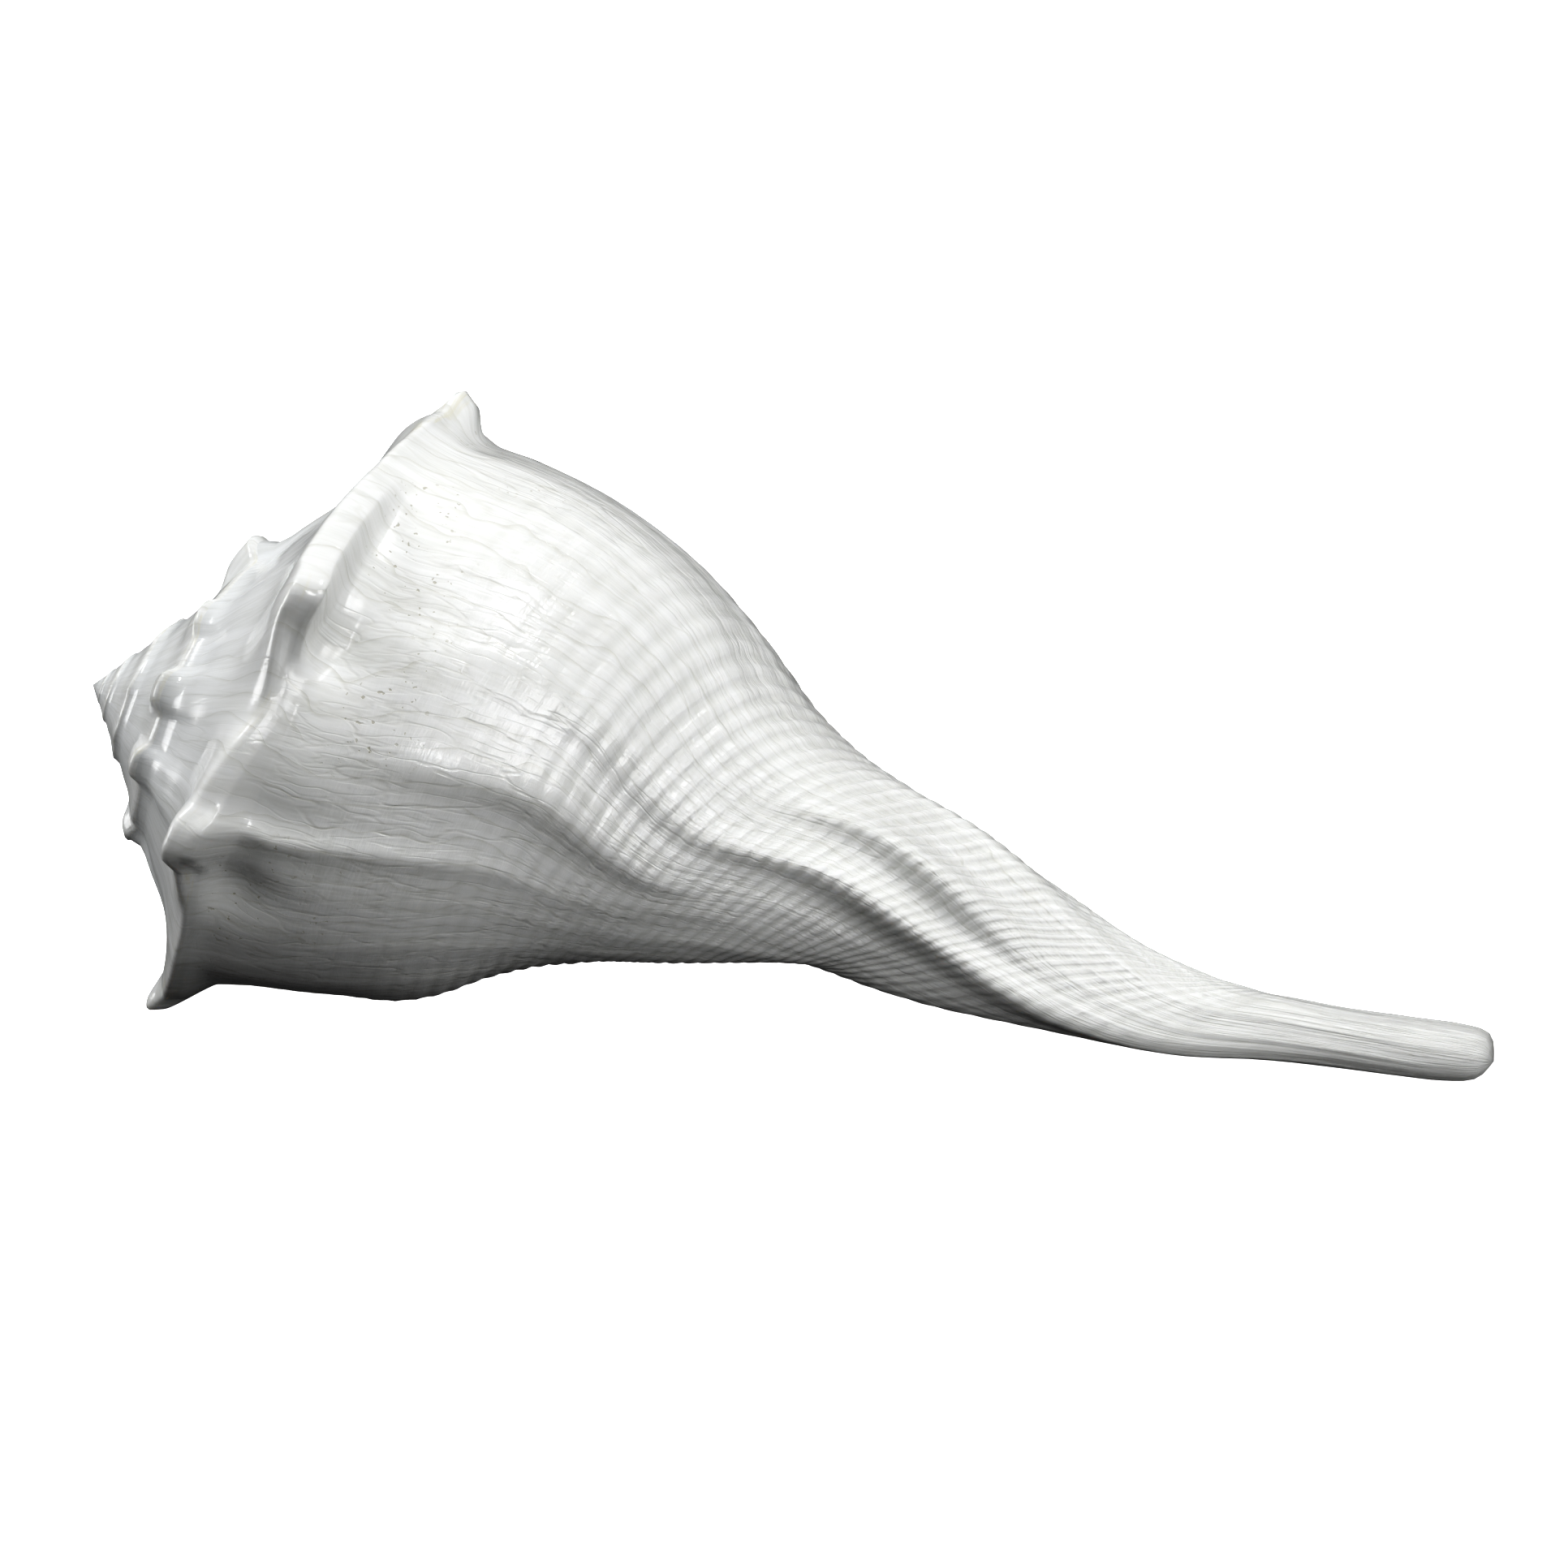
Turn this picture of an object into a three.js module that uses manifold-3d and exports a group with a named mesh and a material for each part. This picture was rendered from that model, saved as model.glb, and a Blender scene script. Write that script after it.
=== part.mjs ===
// A left-handed knobbed whelk shell lying on its open side, in millimetres with +Z up.
// The outside is one spiral sheet: a single outline, from the seam over the shoulder
// to the end of the canal, turns about the coiling axis and doubles in size each turn.
// The hollow behind the lip is cut out of that solid as a second swept body.
import * as THREE from "three";
import { mergeVertices } from "three/addons/utils/BufferGeometryUtils.js";
import Module from "manifold-3d";

const DEG = Math.PI / 180;
const TURN = 2 * Math.PI;

// Size of the spiral sheet.
const GROWTH_PER_TURN = 2;
const TURNS = 3.75;
const COLUMNS_PER_TURN = 64;

// The outline at azimuth 0, as radius from the axis and distance along it from the apex.
// It starts at the seam with the turn before and ends at the tip of the canal.
const OUTLINE = [
  [21.6, 16.6], [22.8, 18.6], [27.0, 21.6], [31.7, 25.2], [37.0, 28.2], [41.3, 30.4],
  [43.4, 31.7], [43.2, 33.2], [42.4, 36.8], [42.1, 43.0], [40.4, 53.0], [36.8, 63.0],
  [31.4, 72.0], [25.2, 80.0], [21.0, 88.0], [18.6, 96.0], [16.1, 105.0], [12.8, 115.0],
  [9.0, 126.0], [5.9, 141.0], [4.4, 156.0], [4.3, 166.0], [4.4, 171.5], [3.3, 175.0], [0, 176.4],
];
const KEEL_ROW = 6;
const SEAM_ROW = 7;
const TIP_ROW = OUTLINE.length - 1;

// Rows of the sheet, counted along the outline points.
const RAMP_ROWS = [0, 1, 2, 3, 4, 5, 5.6, 6, 6.4, 7];
const BODY_ROWS = [
  7.6, 8.3, 9, 9.8, 10.6, 11.4, 12.2, 13, 13.8, 14.6, 15.4, 16.2, 17, 17.7, 18.4, 19, 19.7,
  20.5, 21.4, 22.3, 23, 23.5, 24,
];

// The canal stops growing in length: all of the growth up to the first distance, little after the second.
const CANAL_STRETCH_FADES = [128, 165];
const CANAL_STRETCH_LOST = 0.93;

// Distance along the axis against degrees or millimetres.
const LIP_AZIMUTH = [
  [33.2, 110], [42, 106], [53, 103.5], [80, 102.5], [106, 96], [125, 90], [140, 86], [178, 84],
];
const GROWTH_LINE_LAG = [
  [0, 8], [30, 0], [80, 3], [105, 4], [118, 10], [130, 20], [138, 33], [144, 47], [150, 61], [162, 76], [178, 84],
];
const CANAL_RISE = [[0, 0], [118, 0], [130, 0.2], [141, 1.3], [152, 4.0], [161, 5.8], [170, 7.5], [178, 9.2]];

// Shoulder knobs, newest first: azimuth, height outwards, lean towards the canal.
const KNOBS = [
  [65, 4.2, 0], [8.75, 4.0, 0.4], [-58.75, 6.8, 0], [-103.75, 6.4, -2.5], [-176.9, 6.6, -5.5],
  [-230, 5.4, -5], [-288, 5.0, -5], [-348, 4.8, -5.6],
];
const OLDER_KNOB_STEP = 46;
const OLDER_KNOB_COUNT = 16;
const OLDER_KNOB_HEIGHT = 4.6;
const KNOB_NUB_WIDTH = 6;
const KNOB_BASE_WIDTH = 30;

// Growth ridges left by old lips: azimuth on the shoulder, half width, height against distance.
const RIDGES = [
  { azimuth: -55, width: 6.5, height: [[40, 0], [55, 0.8], [75, 1.5], [100, 2.2], [135, 3.0], [146, 2.2], [166, 0]] },
  { azimuth: -28, width: 6, height: [[72, 0], [84, 0.9], [110, 1.4], [138, 1.5], [162, 0]] },
  { azimuth: 14, width: 9, height: [[92, 0], [104, 1.1], [112, 1.3], [135, 0.3], [150, 0]] },
  { azimuth: -104, width: 22, height: [[122, 0], [132, 1.4], [140, 2.6], [149, 1.6], [160, 0]] },
  { azimuth: -170, width: 30, height: [[34, 0], [44, -1.7], [58, -1.5], [70, 0.6], [84, 1], [96, 0]] },
];

// The hollow: degrees behind the lip against wall thickness, and against its reach into the canal.
const HOLLOW_BEHIND_LIP = 300;
const HOLLOW_AHEAD_OF_LIP = 4;
const HOLLOW_COLUMNS = 32;
const WALL = [[0, 1.0], [6, 1.3], [30, 2.4], [300, 2.4]];
const HOLLOW_REACH = [[0, 168], [20, 163], [60, 140], [100, 118], [140, 104], [300, 98]];
const GLAZE = [[30, 0.5], [110, 0.5], [135, -0.6], [178, -1.0]];

const SMALLEST_EDGE = 0.02;

// How the shell lies: the axis dips towards the canal and the shell is rolled onto its lip.
const AXIS_DIP = 14.375;
const ROLL = 12.21;

function clamp(x, low, high) {
  return Math.min(high, Math.max(low, x));
}

function smoothStep(from, to, x) {
  const t = clamp((x - from) / (to - from), 0, 1);
  return t * t * (3 - 2 * t);
}

// Smooth curve through (x, y) points, flat beyond both ends.
function blend(points, x) {
  const last = points.length - 1;
  const at = clamp(x, points[0][0], points[last][0]);
  let i = 0;
  while (i < last - 1 && at > points[i + 1][0]) i += 1;
  const slope = (k) => {
    const a = points[Math.max(k - 1, 0)];
    const b = points[Math.min(k + 1, last)];
    return (b[1] - a[1]) / (b[0] - a[0]);
  };
  const span = points[i + 1][0] - points[i][0];
  const t = (at - points[i][0]) / span;
  const rise = t * t * (3 - 2 * t);
  const bowIn = t * (1 - t) * (1 - t) * span * slope(i);
  const bowOut = t * t * (t - 1) * span * slope(i + 1);
  return points[i][1] + (points[i + 1][1] - points[i][1]) * rise + bowIn + bowOut;
}

// Catmull-Rom point and its derivative on the outline, at a fractional row.
function outlineAt(row) {
  const i = clamp(Math.floor(row), 0, TIP_ROW - 1);
  const t = row - i;
  const pick = (k) => OUTLINE[clamp(i + k, 0, TIP_ROW)];
  const [a, b, c, d] = [pick(-1), pick(0), pick(1), pick(2)];
  const value = [0, 1].map((n) => {
    const [p, q, r, s] = [a[n], b[n], c[n], d[n]];
    return 0.5 * (2 * q + (r - p) * t + (2 * p - 5 * q + 4 * r - s) * t * t + (3 * q - p - 3 * r + s) * t ** 3);
  });
  const slope = [0, 1].map((n) => {
    const [p, q, r, s] = [a[n], b[n], c[n], d[n]];
    return 0.5 * (r - p + 2 * (2 * p - 5 * q + 4 * r - s) * t + 3 * (3 * q - p - 3 * r + s) * t * t);
  });
  const length = Math.hypot(slope[0], slope[1]);
  return { radius: value[0], along: value[1], out: slope[1] / length, back: -slope[0] / length };
}

// Row on the body side whose distance along the axis is as given.
function rowAt(along) {
  let low = KEEL_ROW;
  let high = TIP_ROW;
  for (let step = 0; step < 40; step += 1) {
    const middle = (low + high) / 2;
    if (outlineAt(middle).along < along) low = middle;
    else high = middle;
  }
  return low;
}

function allKnobs() {
  const older = Array.from({ length: OLDER_KNOB_COUNT }, (_, k) => {
    const height = OLDER_KNOB_HEIGHT * (1 - k / OLDER_KNOB_COUNT);
    return [KNOBS.at(-1)[0] - OLDER_KNOB_STEP * (k + 1), height, -height];
  });
  return [...KNOBS, ...older];
}

const SHOULDER_KNOBS = allKnobs();

// Push of the knobs at the keel: outwards and along the axis.
function knobPush(azimuth) {
  let outwards = 0;
  let along = 0;
  for (const [middle, height, lean] of SHOULDER_KNOBS) {
    const off = Math.abs(azimuth / DEG - middle);
    const nub = Math.exp(-((off / KNOB_NUB_WIDTH) ** 2));
    const base = clamp(1 - off / KNOB_BASE_WIDTH, 0, 1) ** 1.4;
    outwards += height * (0.5 * nub + 0.5 * base);
    along += lean * (0.5 * nub + 0.5 * base);
  }
  return { outwards, along };
}

// Share of that push at a row: rising over the ramp, dropping to a hollow below the keel.
function knobShare(row) {
  if (row < KEEL_ROW) return (row / KEEL_ROW) ** 2.8;
  const below = row - KEEL_ROW;
  return Math.exp(-((below / 1.3) ** 2)) - 0.2 * Math.exp(-(((below - 3.1) / 1.1) ** 2));
}

function ridgeHeight(azimuth, along) {
  const stage = azimuth / DEG + blend(GROWTH_LINE_LAG, along);
  return RIDGES.reduce((sum, ridge) => {
    const off = (stage - ridge.azimuth) / ridge.width;
    return sum + blend(ridge.height, along) * Math.exp(-off * off);
  }, 0);
}

// Point of the sheet. The coiling axis is X, azimuth 0 is up and azimuth 90 points away.
// A plain sheet has no knobs or ridges; an inset moves it inwards by that much.
function sheetPoint(azimuth, row, { inset = 0, plain = false } = {}) {
  const shape = outlineAt(row);
  const stretch = 1 - CANAL_STRETCH_LOST * smoothStep(...CANAL_STRETCH_FADES, shape.along);
  const grown = GROWTH_PER_TURN ** (azimuth / TURN);
  const moved = (plain ? 0 : ridgeHeight(azimuth, shape.along)) - inset;
  let radius = shape.radius * grown + moved * shape.out;
  let along = shape.along * GROWTH_PER_TURN ** ((azimuth / TURN) * stretch) + moved * shape.back;
  if (!plain) {
    const here = knobPush(azimuth);
    const before = knobPush(azimuth - TURN);
    const share = knobShare(row) * grown;
    const seamShare = clamp(1 - row / KEEL_ROW, 0, 1) ** 2 * knobShare(SEAM_ROW) * (grown / GROWTH_PER_TURN);
    radius += here.outwards * share + before.outwards * seamShare;
    along += here.along * share + before.along * seamShare;
  }
  const rise = blend(CANAL_RISE, along);
  return [along, radius * Math.sin(azimuth), radius * Math.cos(azimuth) + rise];
}

// Azimuth of a column. Columns count in turns, 1 at the lip, and bend along the growth lines.
function columnAzimuth(column, row) {
  const { along } = outlineAt(row);
  const bend = smoothStep(0, 0.42, column) * smoothStep(1, 0.72, column) * smoothStep(33.2, 45, along);
  const lag = row > SEAM_ROW ? blend(GROWTH_LINE_LAG, along) * bend : 0;
  const lip = row > SEAM_ROW ? blend(LIP_AZIMUTH, along) : LIP_AZIMUTH[0][1];
  return (lip - lag) * DEG - TURN * (1 - column);
}

// The solid outside. The first row of each turn is the seam row of the turn before.
function outerBody() {
  const rows = [...RAMP_ROWS, ...BODY_ROWS];
  const seam = RAMP_ROWS.length - 1;
  const tip = rows.length - 1;
  const total = Math.round(TURNS * COLUMNS_PER_TURN);
  const lastTurn = total - COLUMNS_PER_TURN;
  const points = [[0, 0, 0], sheetPoint(columnAzimuth(1, TIP_ROW), TIP_ROW)];
  const id = [];
  for (let i = 0; i <= total; i += 1) {
    const column = 1 - (total - i) / COLUMNS_PER_TURN;
    const end = i >= lastTurn ? tip : seam;
    id.push([i < COLUMNS_PER_TURN ? 0 : id[i - COLUMNS_PER_TURN][seam]]);
    for (let j = 1; j <= end; j += 1) {
      if (j === tip) {
        id[i].push(1);
      } else {
        id[i].push(points.length);
        points.push(sheetPoint(columnAzimuth(column, rows[j]), rows[j]));
      }
    }
  }
  const faces = [];
  const quad = (a, b, c, d) => faces.push([a, b, c], [a, c, d]);
  for (let i = 0; i < total; i += 1) {
    const end = i >= lastTurn ? tip : seam;
    for (let j = 0; j < end; j += 1) quad(id[i][j], id[i][j + 1], id[i + 1][j + 1], id[i + 1][j]);
  }
  for (let j = 1; j < seam; j += 1) faces.push([0, id[0][j + 1], id[0][j]]);
  for (let j = 0; j < seam; j += 1) faces.push([id[total][j], id[total][j + 1], id[lastTurn][seam]]);
  for (let j = seam; j < tip; j += 1) {
    quad(id[total][j], id[total][j + 1], id[lastTurn][j + 1], id[lastTurn][j]);
  }
  return { points, faces };
}

// Evenly spaced numbers from one value to another.
function spread(from, to, count) {
  return Array.from({ length: count }, (_, k) => from + ((to - from) * k) / (count - 1));
}

// One closed ring of the hollow, so many degrees behind the lip.
function hollowRing(behind) {
  const column = 1 - behind / 360;
  const depth = Math.max(behind, 0);
  const end = rowAt(blend(HOLLOW_REACH, depth));
  const wall = blend(WALL, depth) * GROWTH_PER_TURN ** (-depth / 720);
  const outer = [...spread(1.8, KEEL_ROW, 5), ...spread(KEEL_ROW, end, 12).slice(1)].map((row) => {
    const thinner = 1 - 0.3 * smoothStep(110, 165, outlineAt(row).along);
    return sheetPoint(columnAzimuth(column, row), row, { inset: wall * thinner, plain: true });
  });
  const inner = spread(rowAt(39), end, 10).map((row) => {
    const inset = -blend(GLAZE, outlineAt(row).along);
    return sheetPoint(columnAzimuth(column, row) - TURN, row, { inset, plain: true });
  });
  return { ring: [...outer, ...inner.reverse()], outerCount: outer.length };
}

// Triangles closing a ring, walked down the outer and inner sides together.
function capFaces(outerCount, ringCount) {
  const faces = [];
  let a = 0;
  let b = ringCount - 1;
  const innerCount = ringCount - outerCount;
  while (b - a > 1) {
    const outerTurn = a / (outerCount - 1) <= (ringCount - 1 - b) / (innerCount - 1);
    if ((outerTurn && a < outerCount - 1) || b === outerCount) {
      faces.push([a, a + 1, b]);
      a += 1;
    } else {
      faces.push([a, b - 1, b]);
      b -= 1;
    }
  }
  return faces;
}

function hollowBody() {
  const steps = spread(0, 1, HOLLOW_COLUMNS).map((t) => t ** 1.15);
  const reach = HOLLOW_BEHIND_LIP + HOLLOW_AHEAD_OF_LIP;
  const rings = steps.map((t) => hollowRing(reach * t - HOLLOW_AHEAD_OF_LIP));
  const count = rings[0].ring.length;
  const points = rings.flatMap(({ ring }) => ring);
  const faces = [];
  for (let i = 0; i < rings.length - 1; i += 1) {
    for (let j = 0; j < count; j += 1) {
      const next = (j + 1) % count;
      const [a, b, c, d] = [i * count + j, i * count + next, (i + 1) * count + next, (i + 1) * count + j];
      faces.push([a, c, b], [a, d, c]);
    }
  }
  const cap = capFaces(rings[0].outerCount, count);
  const far = (rings.length - 1) * count;
  faces.push(...cap);
  faces.push(...cap.map(([a, b, c]) => [far + a, far + c, far + b]));
  return { points, faces };
}

function signedVolume({ points, faces }) {
  return faces.reduce((sum, [a, b, c]) => {
    const [p, q, r] = [a, b, c].map((k) => new THREE.Vector3(...points[k]));
    return sum + p.dot(q.cross(r)) / 6;
  }, 0);
}

function toManifold(wasm, body) {
  const inward = signedVolume(body) < 0;
  const faces = body.faces.filter(([a, b, c]) => a !== b && b !== c && a !== c);
  const geometry = new THREE.BufferGeometry();
  geometry.setAttribute("position", new THREE.Float32BufferAttribute(body.points.flat(), 3));
  geometry.setIndex(faces.flatMap(([a, b, c]) => (inward ? [a, c, b] : [a, b, c])));
  const merged = mergeVertices(geometry, 1e-5);
  return new wasm.Manifold(new wasm.Mesh({
    numProp: 3,
    vertProperties: merged.attributes.position.array,
    triVerts: new Uint32Array(merged.index.array),
  }));
}

// The finished surface, with corners closer than the tolerance drawn together.
function toGeometry(solid) {
  const mesh = solid.getMesh();
  const geometry = new THREE.BufferGeometry();
  geometry.setAttribute("position", new THREE.Float32BufferAttribute(mesh.vertProperties, 3));
  geometry.setIndex(Array.from(mesh.triVerts));
  const merged = mergeVertices(geometry, SMALLEST_EDGE);
  const index = merged.index.array;
  const kept = [];
  for (let k = 0; k < index.length; k += 3) {
    const [a, b, c] = [index[k], index[k + 1], index[k + 2]];
    if (a !== b && b !== c && a !== c) kept.push(a, b, c);
  }
  merged.setIndex(kept);
  return merged;
}

// Turns the shell into its resting pose, centred over the origin with its lowest point at zero.
function layDown(geometry) {
  geometry.rotateX(-ROLL * DEG);
  geometry.rotateY(AXIS_DIP * DEG);
  geometry.computeBoundingBox();
  const { min, max } = geometry.boundingBox;
  geometry.translate(-(min.x + max.x) / 2, -(min.y + max.y) / 2, -min.z);
  return geometry;
}

const wasm = await Module();
wasm.setup();
const solid = toManifold(wasm, outerBody()).subtract(toManifold(wasm, hollowBody()));
const geometry = layDown(toGeometry(solid));
geometry.computeVertexNormals();

const material = new THREE.MeshStandardMaterial({ color: 0xe8e8e4, roughness: 0.35, metalness: 0 });
material.name = "shell_white";

const shell = new THREE.Mesh(geometry, material);
shell.name = "shell";

const part = new THREE.Group();
part.name = "whelk_shell";
part.add(shell);

export default part;
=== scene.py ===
"""A white left-handed knobbed whelk shell lying on its open side: fine surface, finish and light."""

import bpy
import numpy as np
from bpy.props import FloatProperty, FloatVectorProperty, IntProperty, PointerProperty
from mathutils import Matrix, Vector


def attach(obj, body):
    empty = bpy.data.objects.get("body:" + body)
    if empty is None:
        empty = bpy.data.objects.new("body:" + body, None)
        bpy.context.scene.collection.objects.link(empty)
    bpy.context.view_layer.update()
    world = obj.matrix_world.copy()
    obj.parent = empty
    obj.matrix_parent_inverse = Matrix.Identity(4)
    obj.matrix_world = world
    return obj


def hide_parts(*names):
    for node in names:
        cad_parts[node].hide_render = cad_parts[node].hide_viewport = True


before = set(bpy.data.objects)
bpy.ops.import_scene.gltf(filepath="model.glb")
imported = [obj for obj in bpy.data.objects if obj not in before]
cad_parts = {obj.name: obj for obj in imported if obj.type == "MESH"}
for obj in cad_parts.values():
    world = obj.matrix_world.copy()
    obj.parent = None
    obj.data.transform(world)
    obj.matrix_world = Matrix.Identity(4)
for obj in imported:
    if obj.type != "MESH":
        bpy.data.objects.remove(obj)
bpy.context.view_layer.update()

bl_info = {
    "name": "Knobbed Whelk Shell",
    "version": (1, 0, 0),
    "blender": (4, 5, 0),
    "location": "View3D > Sidebar > Whelk",
    "description": "Fine surface, porcelain-white finish and plain studio for a left-handed whelk shell",
    "category": "Add Mesh",
}

MM = 0.001
DEG = np.pi / 180
TURN = 2 * np.pi

# The shell's own frame: coiling axis along X, apex at the origin, millimetres.
# It is rolled onto its lip, dipped towards the canal, and its apex lies here in the part's frame.
AXIS_DIP = 14.375
ROLL = 12.21
APEX_PLACE = (-87.5285, -5.918, 37.857)

# One outline, as radius and distance along the axis, doubles in size with each turn.
GROWTH_PER_TURN = 2
TURNS = 4.75
OUTLINE = np.array([
    [21.6, 16.6], [22.8, 18.6], [27.0, 21.6], [31.7, 25.2], [37.0, 28.2], [41.3, 30.4],
    [43.4, 31.7], [43.2, 33.2], [42.4, 36.8], [42.1, 43.0], [40.4, 53.0], [36.8, 63.0],
    [31.4, 72.0], [25.2, 80.0], [21.0, 88.0], [18.6, 96.0], [16.1, 105.0], [12.8, 115.0],
    [9.0, 126.0], [5.9, 141.0], [4.4, 156.0], [4.2, 166.5], [4.1, 172.5], [3.2, 176.2], [0, 177.6],
])
KEEL_ROW = 6
SEAM_ROW = 7
TIP_ROW = len(OUTLINE) - 1
CANAL_STRETCH_FADES = (128, 165)
CANAL_STRETCH_LOST = 1.0

# Distance along the axis against degrees or millimetres.
LIP_AZIMUTH = [[33.2, 110], [42, 106], [53, 103.5], [80, 102.5], [106, 96], [125, 90], [140, 86], [178, 84]]
GROWTH_LINE_LAG = [
    [0, 8], [30, 0], [44, 0], [60, -3], [72, -4], [79, 0], [86, 5], [93, 8], [106, 4],
    [112, 6], [118, 10], [130, 20], [138, 33], [144, 47], [150, 61], [162, 76], [178, 84],
]
CANAL_RISE = [[0, 0], [118, 0], [130, 0.2], [141, 1.3], [152, 4.0], [161, 5.8], [170, 7.5], [178, 9.2]]

# Crests of the shoulder knobs, newest first: azimuth, height outwards, lean towards the canal, degrees to the
# foot of the crest on the older and on the newer side, and the share of it that overhangs the body.
KNOBS = [
    [65, 2.0, 0, 26, 30, 0.2], [8.75, 1.3, 0.2, 24, 30, 0.2], [-58.75, 7.4, 0.4, 8, 37, 1.0],
    [-104.5, 5.0, -1.6, 8, 32, 1.0], [-176.9, 4.4, -3.6, 20, 34, 0.8],
    [-230, 3.6, -3, 18, 30, 0.5], [-288, 3.2, -3, 18, 30, 0.5], [-356, 1.2, -1.2, 16, 22, 0],
    [-404, 1.2, -1.0, 14, 18, 0], [-435, 1.0, -0.8, 12, 16, 0], [-466, 1.0, -0.8, 12, 16, 0],
    [-500, 0.6, -0.5, 12, 16, 0], [-531, 1.0, -1.0, 12, 16, 0],
]
OLDER_KNOB_STEP = 44
OLDER_KNOB_COUNT = 14
OLDER_KNOB_HEIGHT = 1.4
OLDER_KNOB_WIDTHS = (14, 18)

# On the ramp an overhanging crest falls off more slowly on its older side: this many widths more.
OLDER_SIDE_ON_RAMP = 1.6

# Blunt nubs at the tips of the crests: azimuth, row, half widths in degrees and rows, push outwards
# and along.
NUBS = [
    [65, 6.2, 4, 1.5, 2.4, 0], [8.75, 6.6, 3.4, 1.0, 2.7, 0.2], [-57, 6.4, 4, 1.5, 0.8, 0.8],
    [-103, 6.3, 6, 1.6, 2.2, -1.0], [-176.9, 6.3, 5, 1.5, 2.6, -2.2], [-230, 6.3, 6, 1.5, 2.2, -2],
    [-288, 6.3, 6, 1.5, 2.2, -2], [-356, 5.3, 9, 2.1, 3.2, -3.2], [-404, 5.6, 7, 1.8, 1.2, -1],
    [-435, 5.6, 8, 1.9, 2.4, -2.2], [-466, 5.6, 8, 1.9, 2.4, -2.2], [-522, 5.6, 10, 1.9, 2.8, -2.8],
]

# Keels of older whorls are worn: degrees over which this sets in, and millimetres taken off.
KEEL_WEAR_FROM = (-240, -330)
KEEL_WEAR = 1.1

# Wide facet on top of an overhanging crest: millimetres that its far edge moves along for each one outwards.
FACET_SPREAD = 0.2

# Valleys of the shoulder between knobs: azimuth, half width, push outwards, push towards the canal.
VALLEYS = [(-75, 12, -0.4, 3.0), (-128, 12, -0.6, 0.8)]

# Hollows and swellings beside the knobs: azimuth, row, half widths in degrees and rows, height.
DENTS = [
    (-61, 8.55, 8, 0.7, -3.8), (-49, 8.9, 8, 0.8, -1.6), (-58, 9.9, 6, 0.6, 0.5),
    (-37, 8.6, 9, 0.7, -1.2), (-114, 8.4, 7, 0.8, -3.0), (-96, 8.6, 5, 0.9, -0.8),
    (-184, 8.4, 8, 0.9, -1.0), (5, 8.3, 7, 0.8, -0.5), (60, 8.3, 7, 0.8, -0.5),
    (3, 4.6, 8, 1.1, 1.8),
]

# Ridges left by old lips: azimuth on the shoulder, half widths on the older and the newer side, height
# against distance. They widen where the canal is thin.
RIDGES = [
    (-57, 4.5, 8, [
        [60, 0], [68, 0.3], [75, 0.6], [90, 0.9], [100, 1.5], [112, 2.4], [135, 2.6], [148, 1.5], [160, 0]]),
    (-31, 3.5, 11, [[88, 0], [96, 0.5], [104, 1.8], [116, 2.6], [128, 1.8], [142, 0]]),
    (14, 9, 9, [[92, 0], [104, 1.1], [112, 1.3], [135, 0.3], [150, 0]]),
    (-104, 22, 22, [[126, 0], [134, 0.9], [140, 1.3], [148, 0.2], [156, 0]]),
    (-180, 34, 34, [[92, 0], [98, -0.9], [106, -1.6], [115, -2.8], [124, -2.0], [136, 0]]),
    (-170, 30, 30, [[34, 0], [44, -1.7], [58, -1.5], [70, 0.6], [84, 1], [96, 0]]),
    (-99.7, 2.2, 2.8, [[33, 0], [35, 1.1], [41, 1.2], [55, 0.8], [68, 0.5], [80, 0.3], [95, 0]]),
    (-79.5, 4.0, 13, [[44, 0], [52, 0.5], [62, 1.2], [74, 1.5], [86, 1.0], [98, 0]]),
]
RIDGE_WIDENS_BELOW = 16
RIDGE_WIDENS_AT_MOST = 3.2

# The hollow: degrees behind the lip against wall thickness, and against its reach into the canal.
HOLLOW_BEHIND_LIP = 300
WALL = [[0, 1.0], [6, 1.3], [30, 2.4], [300, 2.4]]
HOLLOW_REACH = [[0, 168], [20, 163], [60, 140], [100, 118], [140, 104], [300, 98]]
GLAZE = [[30, 0.5], [110, 0.5], [135, -0.6], [178, -1.0]]
HOLLOW_FIRST_ROW = 1.8
HOLLOW_INNER_START = 39

# Spiral cords: millimetres from one to the next, and their height, against distance along the axis.
CORD_PITCH = [[33, 3.4], [62, 3.1], [80, 2.5], [95, 2.3], [115, 2.1], [150, 2.0], [178, 2.0]]
CORD_HEIGHT = [
    [36, 0], [46, 0.02], [60, 0.04], [70, 0.1], [80, 0.13], [112, 0.14], [132, 0.12], [146, 0.04], [160, 0],
]
# Growth folds against distance: height of the broad ones and of the narrow ones.
FOLD_HEIGHT = [
    [10, 0.06], [28, 0.10], [40, 0.14], [60, 0.10], [90, 0.16], [125, 0.22], [150, 0.15], [176, 0.05],
]
LINE_HEIGHT = [[10, 0.03], [28, 0.06], [60, 0.08], [100, 0.10], [150, 0.06], [176, 0.03]]


def smooth_step(low, high, x):
    """0 below low, 1 above high, and 3t² - 2t³ between them."""
    t = np.clip((x - low) / (high - low), 0, 1)
    return t * t * (3 - 2 * t)


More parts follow.
